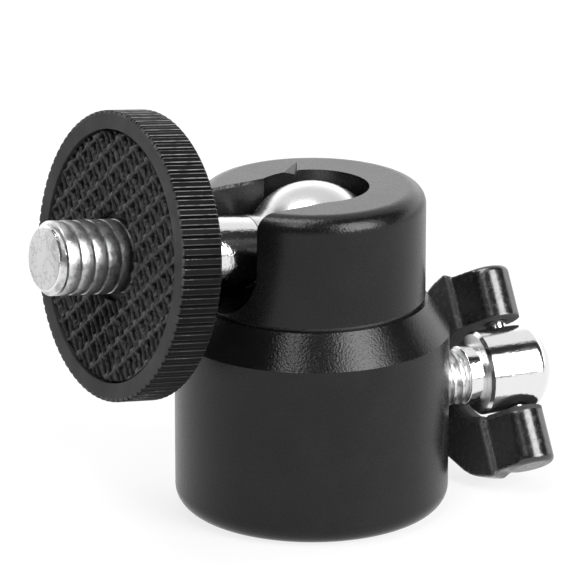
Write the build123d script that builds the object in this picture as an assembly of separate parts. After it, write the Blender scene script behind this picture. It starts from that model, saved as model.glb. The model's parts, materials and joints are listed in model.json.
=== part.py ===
from build123d import *
import os
from math import atan2, cos, degrees, radians, sin, sqrt, tan

# A small tripod ball head. Millimetres and degrees, +Z up, +X out along the clamp screw.
# The origin is the centre of the base's underside, where the tripod screw enters.

# ---------------------------------------------------------------- driving sizes

# Base housing
base_diameter = 24.0
base_height = 18.8
base_cone_height = 2.9
base_top_diameter = 20.2
base_edge_radius = 1.8

# Tripod socket in the underside, a 1/4 in thread cut to its major diameter
socket_diameter = 6.4
socket_depth = 5.6
socket_lead_in = 0.3
socket_web = 1.0  # metal left between the socket and the plunger's bore

# Turning joint between the two housings
neck_wall = 1.75  # outside the bore that holds the ball
neck_floor_gap = 0.2
neck_clearance = 0.05  # radial
housing_gap = 0.35  # the dark line between base and ball housing
washer_thickness = 0.3
washer_bore_gap = 0.3  # radial, round the neck
washer_inset = 0.37  # from the ball housing's wall
ring_thickness = 0.8
ring_width = 1.2
ring_depth_below_top = 2.4  # base top to the ring's upper face
ring_split_width = 2.4
ring_clearance = 0.1  # between the ring and the neck's groove, each way

# Ball housing
housing_diameter = 19.74
housing_edge_radius = 1.5
mouth_diameter = 9.92
mouth_lip = 0.2  # how far the uncut part of the mouth's rim stands in from its wall
mouth_lip_start_turn = 81.0  # where the wider cut of the mouth begins, about +Z
slot_turn = 189.5  # the slot's direction about +Z
slot_side_gap = 1.32  # each side of the stem
slot_offset = 0.25  # to the right of the slot's direction, seen from above
slot_axis_rise = 0.49  # from the ball's centre up to the centre of the slot's round bottom
nick_turn = 66.5  # direction of the nick's straight side
nick_offset = 1.31  # from the head's axis to that side
nick_shoulder = 4.6  # from the axis to the nick's wide end
nick_reach = 7.3  # and to its point
nick_width = 1.0
nick_slope = 21.0  # its floor falls from the slanting side to the straight one

# Ball and its seats
ball_diameter = 11.9
ball_dip = 1.94  # how far the ball reaches below the ball housing's lower face
ball_crown = 0.26  # how far it stands above the top face
ball_seat_clearance = 0.05
housing_bore_clearance = 0.1  # the straight bore round the ball, radial

# Cup and plunger under the ball
cup_top_drop = 4.26  # from the ball's centre down to the cup's rim
cup_floor = 2.01  # under the ball
cup_bore_clearance = 0.12
plunger_head_diameter = 11.2
plunger_head_thickness = 1.7
plunger_room = 0.8  # from its head down to the neck's lower end
plunger_stem_diameter = 7.0
plunger_stem_drop = 1.36  # how far the stem reaches below the clamp screw's axis
plunger_clearance = 0.05

# Stud: the stem, its thread and the spigot that joins it to the ball
stud_turn = 188.0  # the stud's direction about +Z
stud_rise = 7.6  # its angle above level
stem_diameter = 6.26
stem_flare_radius = 1.3
ball_neck_length = 0.95  # of the flared neck, beyond the ball
neck_seam_gap = 0.05
spigot_diameter = 4.9
spigot_start = 1.0
spigot_clearance = 0.04
camera_thread_diameter = 6.35  # 1/4 in thread, cut to its major diameter
camera_thread_exposed = 6.3
thread_core_step = 0.275  # radial, on the stretch that the lock disc hides
thread_tip_chamfer = 0.45

# Lock disc and its pad; distances run out from the ball's centre
disc_back = 16.55
disc_thickness = 3.8
disc_diameter = 24.68
disc_edge_chamfer = 0.25
pad_recess_depth = 1.0
pad_thickness = 0.78
pad_diameter = 21.3
pad_side_gap = 0.1
pad_bore_gap = 0.525  # radial, round the stud's thread
adhesive_thickness = 0.12
bush_wall = 0.98
bush_inset = 0.15  # from the disc's back face
bush_thread_clearance = 0.045
bush_clearance = 0.03

# Clamp screw
clamp_roof = 0.39  # metal between its hole and the neck's bore
clamp_thread_diameter = 5.0
clamp_thread_clearance = 0.05
clamp_thread_inner = 3.8
collar_diameter = 5.3
clamp_thread_exposed = 2.2
collar_length = 1.6
barrel_diameter = 7.5
barrel_straight_length = 5.1
barrel_dome_height = 1.85
barrel_crown_radius = 0.9  # rounds the edge between the barrel's wall and its dome
barrel_rim_chamfer = 0.3
barrel_spigot_diameter = 3.6
barrel_spigot_length = 1.8
nose_diameter = 2.4
nose_length = 1.5
nose_clearance = 0.04
tip_diameter = 4.2
tip_apex = -1.1
tip_wall_end = 3.6
tip_floor_gap = 0.15
wedge_clearance = 0.03

# Flip lever, in its own axes: across is along the pin, reach runs from the pin to the wing's end,
# and thickness lies square to both
pin_inset = 3.15  # from the barrel's inner face
pin_diameter = 1.8
pin_end_inset = 0.7  # from each knuckle's outer face
pin_clearance = 0.04
lever_lean = 34.0  # the pin's turn about the clamp screw, top away to +Y
lever_fold = 42.0  # how far the wing is folded in towards the base
knuckle_diameter = 4.5
knuckle_length = 4.85
knuckle_edge_radius = 0.55
fork_side_gap = 0.55  # beside the barrel
fork_end_gap = 0.45  # past the barrel's swing
fork_corner_radius = 3.4
flank_inset = 0.1  # from the knuckles' outer faces
shoulder_reach = 2.15  # where the fork's flank starts to thicken into the wing
shoulder_length = 0.5
shoulder_step = 0.3
wing_flare = 0.25  # how far the wing stands out beyond the knuckles
wing_straight_reach = 2.9
wing_side_reach = 5.1
wing_side_half_width = 8.65
wing_length = 8.8
wing_end_half_width = 3.7
wing_end_half_thickness = 0.95
wing_side_radius = 4.0
wing_end_radius = 0.9
outer_bevel_width = 2.2  # bevel along both sides of the lever's outer face
outer_bevel_depth = 2.2

# ---------------------------------------------------------------- worked-out places

base_radius = base_diameter / 2
guide_floor = socket_depth + socket_web
housing_bottom = base_height + housing_gap

ball_radius = ball_diameter / 2
ball_height = housing_bottom - ball_dip + ball_radius
housing_top = ball_height + ball_radius - ball_crown
seat_radius = ball_radius + ball_seat_clearance
housing_bore_radius = ball_radius + housing_bore_clearance
slot_width = stem_diameter + 2 * slot_side_gap
slot_axis_height = ball_height + slot_axis_rise

cup_top_height = ball_height - cup_top_drop
cup_bottom_height = ball_height - ball_radius - cup_floor
plunger_head_bottom = cup_bottom_height - plunger_head_thickness
neck_bottom = plunger_head_bottom - plunger_room
neck_seat = neck_bottom - neck_floor_gap
neck_radius = housing_bore_radius + neck_wall
ring_top = base_height - ring_depth_below_top

ball_neck_end = ball_radius + ball_neck_length
disc_front = disc_back + disc_thickness
recess_floor = disc_front - pad_recess_depth
stud_tip = disc_front + camera_thread_exposed
stud_thread_radius = camera_thread_diameter / 2
bush_bore_radius = stud_thread_radius + bush_thread_clearance
bush_radius = bush_bore_radius + bush_wall

clamp_hole_radius = clamp_thread_diameter / 2 + clamp_thread_clearance
clamp_height = neck_seat - clamp_roof - clamp_hole_radius
plunger_stem_bottom = clamp_height - plunger_stem_drop
collar_inner = base_radius + clamp_thread_exposed
barrel_inner = collar_inner + collar_length
barrel_outer = barrel_inner + barrel_straight_length
barrel_radius = barrel_diameter / 2
pin_distance = barrel_inner + pin_inset
fork_half_gap = barrel_radius + fork_side_gap
fork_depth = sqrt(pin_inset**2 + barrel_radius**2) + fork_end_gap
knuckle_half_width = fork_half_gap + knuckle_length
flank_half_width = knuckle_half_width - flank_inset
wing_half_width = knuckle_half_width + wing_flare
pin_length = 2 * (knuckle_half_width - pin_end_inset)

ball_centre = Location((0, 0, ball_height))
stud_frame = ball_centre * Rotation(0, 0, stud_turn) * Rotation(0, 90 - stud_rise, 0)
clamp_frame = Location((0, 0, clamp_height)) * Rotation(0, 90, 0)
pin_frame = Location((pin_distance, 0, clamp_height)) * Rotation(-lever_lean, 0, 0)
# in lever_frame, Z lies along the pin, Y along the wing's reach and X through its thickness
lever_frame = pin_frame * Rotation(0, 0, lever_fold)
reach_plane = Plane(origin=(0, 0, 0), x_dir=(0, 1, 0), z_dir=(-1, 0, 0))
section_plane = Plane(origin=(0, 0, 0), x_dir=(1, 0, 0), z_dir=(0, 1, 0))


def disc(radius, low, high):
    """A plain round solid on Z, between two heights."""
    return Pos(0, 0, (low + high) / 2) * Cylinder(radius, high - low)


def tube(outer, inner, low, high):
    """A round solid on Z with a hole through it."""
    return disc(outer, low, high) - disc(inner, low - 1, high + 1)


def turned(points):
    """A solid turned about Z from an outline of (radius, height) points."""
    outline = Plane.XZ * make_face(Polyline(*points, close=True))
    return revolve(outline, Axis.Z)


# ---------------------------------------------------------------- base and turning joint


def base_housing():
    outline = [
        (0, 0),
        (base_radius, 0),
        (base_radius, base_height - base_cone_height),
        (base_top_diameter / 2, base_height),
        (0, base_height),
    ]
    body = turned(outline)
    rim = body.edges().filter_by(GeomType.CIRCLE).sort_by(Axis.Z)[0]
    body = fillet(rim, base_edge_radius)
    body -= disc(neck_radius + neck_clearance, neck_seat, base_height + 1)
    body -= disc(plunger_stem_diameter / 2 + plunger_clearance, guide_floor, neck_seat + 1)
    body -= disc(neck_radius + ring_width / 2, ring_top - ring_thickness, ring_top)
    body -= disc(socket_diameter / 2, -1, socket_depth)
    lead_in = socket_diameter / 2 + socket_lead_in
    body -= turned([(0, 0), (lead_in, 0), (socket_diameter / 2, socket_lead_in), (0, socket_lead_in)])
    body -= clamp_frame * disc(clamp_hole_radius, 0, base_radius + 1)
    return body


def pan_washer():
    outer = housing_diameter / 2 - washer_inset
    return tube(outer, neck_radius + washer_bore_gap, base_height, base_height + washer_thickness)


def pan_snap_ring():
    outer = neck_radius + ring_width / 2
    ring = tube(outer, outer - ring_width, ring_top - ring_thickness, ring_top)
    return ring - Pos(0, outer, ring_top) * Box(ring_split_width, 3 * ring_width, 3 * ring_thickness)


# ---------------------------------------------------------------- ball housing


def mouth_cut():
    """The round mouth over the ball: a narrower first cut, and a wider one over most of its turn."""
    top = housing_top + 1
    narrow = disc(mouth_diameter / 2 - mouth_lip, ball_height, top)
    wide = disc(mouth_diameter / 2, ball_height, top)
    lip_turn = (mouth_lip_start_turn + slot_turn) / 2
    lip_span = (slot_turn - mouth_lip_start_turn) / 2
    reach = mouth_diameter
    corner = reach * tan(radians(lip_span / 2))
    sector = make_face(
        Polyline(
            (0, 0),
            (reach * cos(radians(lip_span)), -reach * sin(radians(lip_span))),
            (reach, -corner),
            (reach, corner),
            (reach * cos(radians(lip_span)), reach * sin(radians(lip_span))),
            close=True,
        )
    )
    lip_zone = Pos(0, 0, ball_height) * extrude(Rotation(0, 0, lip_turn) * sector, top - ball_height)
    return narrow + (wide - lip_zone)


def slot_cut():
    """The round-bottomed slot that lets the stud lie down level."""
    reach = housing_diameter
    half = slot_width / 2
    height = housing_top + 1 - slot_axis_height
    round_bottom = Pos(0, 0, slot_axis_height) * Rotation(0, 90, 0) * disc(half, 0, reach)
    walls = Pos(reach / 2, 0, slot_axis_height + height / 2) * Box(reach, slot_width, height)
    return Rotation(0, 0, slot_turn) * Pos(0, slot_offset, 0) * (round_bottom + walls)


def rim_nick():
    """A small wedge missing from the rim where the mouth's wider cut begins."""
    inner = ball_radius / 2
    outline = make_face(
        Polyline(
            (inner, nick_offset),
            (nick_reach, nick_offset),
            (nick_shoulder, nick_offset + nick_width),
            (inner, nick_offset + nick_width),
            close=True,
        )
    )
    column = extrude(outline, nick_width, both=True)
    slant = degrees(atan2(nick_width, nick_shoulder - nick_reach))
    size = 4 * nick_reach
    above_floor = Pos(0, 0, size / 2) * Box(size, size, size)
    floor_frame = Pos(nick_reach, nick_offset, 0) * Rotation(0, 0, slant) * Rotation(-nick_slope, 0, 0)
    return Rotation(0, 0, nick_turn) * Pos(0, 0, housing_top) * (column & (floor_frame * above_floor))


def ball_housing():
    radius = housing_diameter / 2
    body = disc(radius, housing_bottom, housing_top)
    rim = body.edges().filter_by(GeomType.CIRCLE).sort_by(Axis.Z)[-1]
    body = fillet(rim, housing_edge_radius)
    body += disc(neck_radius, neck_bottom, housing_bottom)
    body -= disc(housing_bore_radius, neck_bottom - 1, ball_height)
    body -= ball_centre * Sphere(seat_radius)
    body -= mouth_cut()
    body -= slot_cut()
    body -= rim_nick()
    groove_floor = neck_radius - ring_width / 2 - ring_clearance
    groove_bottom = ring_top - ring_thickness - ring_clearance
    return body - tube(2 * neck_radius, groove_floor, groove_bottom, ring_top + ring_clearance)


# ---------------------------------------------------------------- cup and plunger


def ball_cup():
    radius = housing_bore_radius - cup_bore_clearance
    return disc(radius, cup_bottom_height, cup_top_height) - ball_centre * Sphere(seat_radius)


def plunger():
    """Its slanted underside rides up the clamp tip's cone."""
    stem = disc(plunger_stem_diameter / 2, plunger_stem_bottom, plunger_head_bottom)
    size = 4 * plunger_stem_diameter
    apex = Location((tip_apex - sqrt(2) * wedge_clearance, 0, clamp_height))
    slope = apex * Rotation(0, -45, 0) * Pos(0, 0, -size / 2) * Box(size, size, size)
    head = disc(plunger_head_diameter / 2, plunger_head_bottom, cup_bottom_height)
    return (stem - slope) + head


# ---------------------------------------------------------------- ball and stud


def ball():
    body = Sphere(ball_radius) + disc(stem_diameter / 2, 0, ball_neck_end)
    seam = body.edges().filter_by(GeomType.CIRCLE).sort_by(Axis.Z)[-2]
    body = fillet(seam, stem_flare_radius)
    body -= disc(spigot_diameter / 2 + spigot_clearance, spigot_start - spigot_clearance, ball_neck_end + 1)
    return stud_frame * body


def stud():
    shaft = disc(spigot_diameter / 2, spigot_start, disc_back)
    shaft += disc(stem_diameter / 2, ball_neck_end + neck_seam_gap, disc_back)
    shaft += disc(stud_thread_radius - thread_core_step, disc_back, disc_front)
    shaft += turned(
        [
            (0, disc_front),
            (stud_thread_radius, disc_front),
            (stud_thread_radius, stud_tip - thread_tip_chamfer),
            (stud_thread_radius - thread_tip_chamfer, stud_tip),
            (0, stud_tip),
        ]
    )
    return stud_frame * shaft


# ---------------------------------------------------------------- lock disc


def disc_bush():
    return stud_frame * tube(bush_radius, bush_bore_radius, disc_back + bush_inset, recess_floor)


def lock_disc():
    body = disc(disc_diameter / 2, disc_back, disc_front)
    body = chamfer(body.edges().filter_by(GeomType.CIRCLE), disc_edge_chamfer)
    body -= disc(bush_radius + bush_clearance, disc_back - 1, disc_front + 1)
    body -= disc(pad_diameter / 2 + pad_side_gap, recess_floor, disc_front + 1)
    return stud_frame * body


def pad_layer(low, high):
    return stud_frame * tube(pad_diameter / 2, stud_thread_radius + pad_bore_gap, low, high)


def pad_adhesive():
    return pad_layer(recess_floor, recess_floor + adhesive_thickness)


def camera_pad():
    low = recess_floor + adhesive_thickness
    return pad_layer(low, low + pad_thickness)


# ---------------------------------------------------------------- clamp screw


def clamp_tip():
    radius = tip_diameter / 2
    body = turned([(0, tip_apex), (radius, tip_apex + radius), (radius, tip_wall_end), (0, tip_wall_end)])
    nose_end = clamp_thread_inner - nose_length - tip_floor_gap
    body -= disc(nose_diameter / 2 + nose_clearance, nose_end, tip_wall_end + 1)
    return clamp_frame * body


def clamp_screw():
    body = disc(nose_diameter / 2, clamp_thread_inner - nose_length, clamp_thread_inner)
    body += disc(clamp_thread_diameter / 2, clamp_thread_inner, collar_inner)
    body += disc(collar_diameter / 2, collar_inner, barrel_inner)
    body += disc(barrel_spigot_diameter / 2, barrel_inner, barrel_inner + barrel_spigot_length)
    return clamp_frame * body


def barrel_dome():
    dome_radius = (barrel_radius**2 + barrel_dome_height**2) / (2 * barrel_dome_height)
    cap = Pos(0, 0, barrel_outer + barrel_dome_height - dome_radius) * Sphere(dome_radius)
    return cap & disc(barrel_radius, barrel_outer, barrel_outer + barrel_dome_height)


def clamp_barrel():
    body = disc(barrel_radius, barrel_inner, barrel_outer)
    rim = body.edges().filter_by(GeomType.CIRCLE).sort_by(Axis.Z)[0]
    body = chamfer(rim, barrel_rim_chamfer)
    body += barrel_dome()
    crown = [e for e in body.edges().filter_by(GeomType.CIRCLE) if abs(e.center().Z - barrel_outer) < 0.01]
    body = fillet(crown, barrel_crown_radius)
    body -= disc(barrel_spigot_diameter / 2, barrel_inner - 1, barrel_inner + barrel_spigot_length)
    body = clamp_frame * body
    return body - pin_frame * Cylinder(pin_diameter / 2, 4 * barrel_radius)


def lever_pin():
    return pin_frame * Cylinder(pin_diameter / 2, pin_length)


# ---------------------------------------------------------------- flip lever


def wing_plan():
    """The lever's outline past the pin, drawn across and reach."""
    crest = shoulder_reach + shoulder_length
    outline = make_face(
        Polyline(
            (0, -flank_half_width),
            (shoulder_reach, -flank_half_width),
            (crest, -wing_half_width),
            (wing_straight_reach, -wing_half_width),
            (wing_side_reach, -wing_side_half_width),
            (wing_length, -wing_end_half_width),
            (wing_length, wing_end_half_width),
            (wing_side_reach, wing_side_half_width),
            (wing_straight_reach, wing_half_width),
            (crest, wing_half_width),
            (shoulder_reach, flank_half_width),
            (0, flank_half_width),
            close=True,
        )
    )
    ends = outline.vertices().filter_by(lambda v: v.X > wing_side_reach + 0.1)
    outline = fillet(ends, wing_end_radius)
    sides = outline.vertices().filter_by(lambda v: abs(v.X - wing_side_reach) < 0.1)
    outline = fillet(sides, wing_side_radius)
    return extrude(reach_plane * outline, knuckle_diameter, both=True)


def wing_side():
    """The lever's outline past the pin, drawn through its thickness and reach."""
    half = knuckle_diameter / 2
    crest = shoulder_reach + shoulder_length
    side = make_face(
        Polyline(
            (half, 0),
            (half, shoulder_reach),
            (wing_end_half_thickness, wing_length),
            (-wing_end_half_thickness, wing_length),
            (-half - shoulder_step, crest),
            (-half, shoulder_reach),
            (-half, 0),
            close=True,
        )
    )
    return extrude(side, 2 * wing_half_width, both=True)


def wing_section():
    """The lever's cross-section, with the bevels of its outer face."""
    half = knuckle_diameter / 2
    outline = make_face(
        Polyline(
            (half, -wing_half_width + outer_bevel_width),
            (half - outer_bevel_depth, -wing_half_width),
            (-knuckle_diameter, -wing_half_width),
            (-knuckle_diameter, wing_half_width),
            (half - outer_bevel_depth, wing_half_width),
            (half, wing_half_width - outer_bevel_width),
            close=True,
        )
    )
    return extrude(section_plane * outline, wing_length + 1)


def lever_body():
    knuckles = Cylinder(knuckle_diameter / 2, 2 * knuckle_half_width)
    knuckles = fillet(knuckles.edges().filter_by(GeomType.CIRCLE), knuckle_edge_radius)
    return knuckles + (wing_plan() & wing_side() & wing_section())


def fork_cut():
    length = fork_depth + knuckle_diameter
    gap = make_face(
        Polyline(
            (-knuckle_diameter, -fork_half_gap),
            (fork_depth, -fork_half_gap),
            (fork_depth, fork_half_gap),
            (-knuckle_diameter, fork_half_gap),
            close=True,
        )
    )
    ends = gap.vertices().filter_by(lambda v: v.X > 0)
    gap = fillet(ends, fork_corner_radius)
    return extrude(reach_plane * gap, length, both=True)


def lever():
    body = lever_body() - fork_cut()
    hole_end = pin_length / 2 + pin_clearance
    body -= disc(pin_diameter / 2 + pin_clearance, -hole_end, 2 * knuckle_half_width)
    return lever_frame * body


# ---------------------------------------------------------------- write one file per node

nodes = {
    "base_housing": base_housing(),
    "pan_washer": pan_washer(),
    "pan_snap_ring": pan_snap_ring(),
    "ball_housing": ball_housing(),
    "ball_cup": ball_cup(),
    "plunger": plunger(),
    "ball": ball(),
    "stud": stud(),
    "disc_bush": disc_bush(),
    "lock_disc": lock_disc(),
    "pad_adhesive": pad_adhesive(),
    "camera_pad": camera_pad(),
    "clamp_tip": clamp_tip(),
    "clamp_screw": clamp_screw(),
    "clamp_barrel": clamp_barrel(),
    "lever_pin": lever_pin(),
    "lever": lever(),
}

os.makedirs("parts", exist_ok=True)
for name, solid in nodes.items():
    export_step(solid, f"parts/{name}.step")
    print(name, round(solid.volume, 2))
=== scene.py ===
import json
import math

import bmesh
import bpy
from mathutils import Matrix, Vector

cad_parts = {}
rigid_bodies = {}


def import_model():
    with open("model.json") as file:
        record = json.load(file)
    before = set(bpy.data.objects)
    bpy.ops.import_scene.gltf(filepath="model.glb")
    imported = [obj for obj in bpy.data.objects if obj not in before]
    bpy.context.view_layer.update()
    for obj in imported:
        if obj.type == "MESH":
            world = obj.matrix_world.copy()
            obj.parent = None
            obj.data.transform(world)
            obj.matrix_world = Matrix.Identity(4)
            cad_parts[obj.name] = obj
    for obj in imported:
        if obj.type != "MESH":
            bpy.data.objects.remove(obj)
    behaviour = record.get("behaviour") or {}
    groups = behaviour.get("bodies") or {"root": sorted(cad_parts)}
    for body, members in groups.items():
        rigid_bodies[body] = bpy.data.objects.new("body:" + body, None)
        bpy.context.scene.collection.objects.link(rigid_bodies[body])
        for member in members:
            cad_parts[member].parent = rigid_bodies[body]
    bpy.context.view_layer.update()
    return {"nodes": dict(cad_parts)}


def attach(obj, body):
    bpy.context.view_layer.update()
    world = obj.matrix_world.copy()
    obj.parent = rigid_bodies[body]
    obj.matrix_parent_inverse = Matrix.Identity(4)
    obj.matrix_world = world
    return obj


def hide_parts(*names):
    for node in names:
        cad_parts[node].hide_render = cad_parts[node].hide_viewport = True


for leftover in list(bpy.data.objects):          # a fresh file's own cube, lamp and camera
    bpy.data.objects.remove(leftover)

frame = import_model()
nodes = frame["nodes"]
mm = 0.001
print("frame loaded:", len(nodes), "nodes")


# places: each turned piece is drawn on Z and then laid along its own axis

head = {"ballHeight": 23.16, "studHeading": 188.0, "studLean": 82.4, "clampHeight": 9.56,
        "pinReach": 18.95, "pinLean": -34.0}


def shifted(x, y, z):
    return Matrix.Translation((x * mm, y * mm, z * mm))


def turned(degrees, axis):
    return Matrix.Rotation(math.radians(degrees), 4, axis)


def axisOf(axes, letter="Z"):
    # the way that one of a piece's own axes points
    return axes.to_3x3() @ Vector([float(letter == each) for each in "XYZ"])


ballCentre = Vector((0, 0, head["ballHeight"] * mm))
studAxes = shifted(0, 0, head["ballHeight"]) @ turned(head["studHeading"], "Z") @ turned(head["studLean"], "Y")
clampAxes = shifted(0, 0, head["clampHeight"]) @ turned(90, "Y")
pinAxes = shifted(head["pinReach"], 0, head["clampHeight"]) @ turned(head["pinLean"], "X")
uprightAxes = Matrix.Identity(4)


# node trees written as sums

class Wire:
    # one socket of a node tree; arithmetic on it adds Math nodes
    def __init__(self, tree, socket=None):
        self.tree, self.socket = tree, socket

    def add(self, kind, settings=None, inputs=None, out=0):
        node = self.tree.nodes.new(kind)
        for name, value in (settings or {}).items():
            setattr(node, name, value)
        for name, value in (inputs or {}).items():
            for each in value if isinstance(value, list) else [value]:      # a list is several links to one socket
                if isinstance(each, Wire):
                    self.tree.links.new(each.socket, node.inputs[name])
                else:
                    node.inputs[name].default_value = each
        return Wire(self.tree, node.outputs[out])

    def other(self, out):
        return Wire(self.tree, self.socket.node.outputs[out])

    def maths(self, operation, *values):
        return self.add("ShaderNodeMath", {"operation": operation}, dict(enumerate(values)))

    def vector(self, operation, *values, out=0):
        return self.add("ShaderNodeVectorMath", {"operation": operation}, dict(enumerate(values)), out)

    def __add__(self, value): return self.maths("ADD", self, value)
    def __radd__(self, value): return self.maths("ADD", value, self)
    def __sub__(self, value): return self.maths("SUBTRACT", self, value)
    def __rsub__(self, value): return self.maths("SUBTRACT", value, self)
    def __mul__(self, value): return self.maths("MULTIPLY", self, value)
    def __rmul__(self, value): return self.maths("MULTIPLY", value, self)
    def __truediv__(self, value): return self.maths("DIVIDE", self, value)
    def __rtruediv__(self, value): return self.maths("DIVIDE", value, self)
    def __pow__(self, value): return self.maths("POWER", self, value)
    def __neg__(self): return self.maths("MULTIPLY", self, -1.0)
    def __abs__(self): return self.maths("ABSOLUTE", self)

    def alone(self, operation): return self.maths(operation, self)
    def fract(self): return self.maths("FRACT", self)
    def below(self, value): return self.maths("LESS_THAN", self, value)
    def above(self, value): return self.maths("GREATER_THAN", self, value)
    def least(self, value): return self.maths("MINIMUM", self, value)
    def most(self, value): return self.maths("MAXIMUM", self, value)
    def angleFrom(self, across): return self.maths("ARCTAN2", self, across)

    def fromPoint(self, point): return self.vector("SUBTRACT", self, tuple(point))
    def along(self, direction): return self.vector("DOT_PRODUCT", self, tuple(direction), out="Value")
    def length(self): return self.vector("LENGTH", self, out="Value")
    def part(self, letter): return self.add("ShaderNodeSeparateXYZ", None, {0: self}, letter)

    def step(self, low, high, start=0.0, end=1.0):
        # a smooth change from start to end as the value goes from low to high
        return self.add("ShaderNodeMapRange", {"interpolation_type": "SMOOTHSTEP"},
                        {"Value": self, "From Min": low, "From Max": high, "To Min": start, "To Max": end})

    def stepAt(self, low, high):
        # the same between two places in millimetres
        return self.step(low * mm, high * mm)

    def pick(self, yes, no):
        return no + self * (yes - no)

    def atLeast(self, share):
        return share + (1 - share) * self


def product(*masks):
    result = masks[0]
    for mask in masks[1:]:
        result = result * mask
    return result


def noise(where, size, detail=3.0, roughness=0.55, stretch=None):
    # noise whose features are about size across, in millimetres
    if stretch:
        where = where.add("ShaderNodeMapping", {"vector_type": "POINT"}, {"Vector": where, "Scale": stretch})
    return where.add("ShaderNodeTexNoise", {"noise_dimensions": "3D"},
                     {"Vector": where, "Scale": 1.0 / (size * mm), "Detail": detail, "Roughness": roughness})


def mixColour(amount, first, second):
    return amount.add("ShaderNodeMix", {"data_type": "RGBA"}, {"Factor": amount, 6: first, 7: second}, 2)


def newMaterial(name, constants):
    # a principled material's object coordinates, and a function that closes it
    material = bpy.data.materials.new(name)
    material.use_nodes = True
    tree = material.node_tree
    surface = tree.nodes["Principled BSDF"]
    for socket, value in constants.items():
        surface.inputs[socket].default_value = value
    where = Wire(tree).add("ShaderNodeTexCoord", out="Object")

    def close(colour, roughness, bumps):
        tree.links.new(colour.socket, surface.inputs["Base Color"])
        tree.links.new(roughness.socket, surface.inputs["Roughness"])
        normal = None
        for height, distance, strength in bumps:      # coarse relief first, fine grain last
            inputs = {"Height": height, "Distance": distance * mm, "Strength": strength}
            if normal is not None:
                inputs["Normal"] = normal
            normal = where.add("ShaderNodeBump", None, inputs)
        tree.links.new(normal.socket, surface.inputs["Normal"])
        return material

    return where, close


def grey(level):
    return (level, level, level, 1)


# finishes: a range is the two ends of a smooth step, and a bump is its height in mm and its strength

bodyLook = {"dark": 0.0028, "light": 0.0045, "roughness": 0.29, "specular": 0.3,
            "cloudSize": 4.0, "cloudRange": (0.35, 0.65), "cloudRough": 0.06, "cloudBump": (0.01, 0.2),
            "grainSize": 0.18, "grainRough": 0.16, "grainBump": (0.024, 1.0),
            "flatShare": 0.3, "steepRange": (0.05, 0.3), "levelRange": (0.99, 0.93), "slopeShine": 0.05,
            "speckSize": 0.55, "speckRange": (0.74, 0.80), "speckShare": 0.35, "speckTone": 0.03,
            "edgeHeight": (28.45, 28.65), "edgeWall": (0.3, 0.1), "edgeSide": (-3.5, -5.0),
            "wornSize": 0.3, "wornRange": (0.40, 0.62), "worn": 0.12}


def makeBodyFinish():
    # bead-blasted aluminium, dyed black
    look = bodyLook
    where, close = newMaterial("anodisedBody", {"IOR": 1.5, "Specular IOR Level": look["specular"]})
    grain = noise(where, look["grainSize"], 1.0, 0.5)
    cloud = noise(where, look["cloudSize"], 3.0)
    specks = noise(where, look["speckSize"], 2.0).step(*look["speckRange"])
    height = where.part("Z")
    upward = abs(where.add("ShaderNodeNewGeometry", out="Normal").part("Z"))      # 1 on a level face, 0 on a wall
    slope = upward.step(*look["steepRange"]) * upward.step(*look["levelRange"])
    coarse = slope.atLeast(look["flatShare"])      # the fillets and the cone were blasted coarser
    slotEdge = product(height.stepAt(*look["edgeHeight"]), upward.step(*look["edgeWall"]),
                       height.other("X").stepAt(*look["edgeSide"]))
    worn = slotEdge * noise(where, look["wornSize"], 3.0, 0.7).step(*look["wornRange"])
    tone = mixColour(cloud.step(*look["cloudRange"]), grey(look["dark"]), grey(look["light"]))
    tone = mixColour(specks * look["speckShare"], tone, grey(look["speckTone"]))
    tone = mixColour(worn, tone, grey(look["worn"]))
    rough = look["roughness"] - slope * look["slopeShine"]
    rough = rough + (grain - 0.5) * look["grainRough"] + (cloud - 0.5) * look["cloudRough"]
    return close(tone, rough, [(cloud, *look["cloudBump"]), (grain * coarse, *look["grainBump"])])


discLook = {"dark": 0.0272, "light": 0.0408, "roughness": 0.42, "specular": 0.09,
            "cloudSize": 3.0, "cloudRange": (0.3, 0.7), "cloudBump": (0.006, 0.3),
            "grainSize": 0.14, "grainRough": 0.12, "grainBump": (0.010, 0.5),
            "middle": 18.45, "rimRadius": (12.0, 12.1), "rimEnd": (1.88, 1.80), "rimShadeTone": 0.0015, "rimRough": 0.16,
            "cornerRadius": (11.95, 12.12), "cornerStart": (1.75, 1.9), "cornerShare": 0.4,
            "lands": 93, "landInner": (0.46, 0.53), "landOuter": (0.68, 0.61),
            "upperHalf": (0.45, 0.55), "lowerShare": 0.25,
            "grooveRange": (0.74, 0.90), "grooveShadeTone": 0.0015, "grooveRough": 0.2,
            "fleckSize": 0.16, "fleckRange": (0.42, 0.60),
            "patchSize": 4.5, "patchRange": (0.38, 0.58), "patchShare": 0.15,
            "frontRange": (-0.9, 0.9), "backShare": 0.05, "upperSideRange": (0.15, 0.75),
            "lineSize": 0.9, "lineRange": (0.3, 0.6), "faintLine": 0.35, "farLine": 0.14,
            "worn": 0.20, "wornShine": 0.12}


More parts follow.
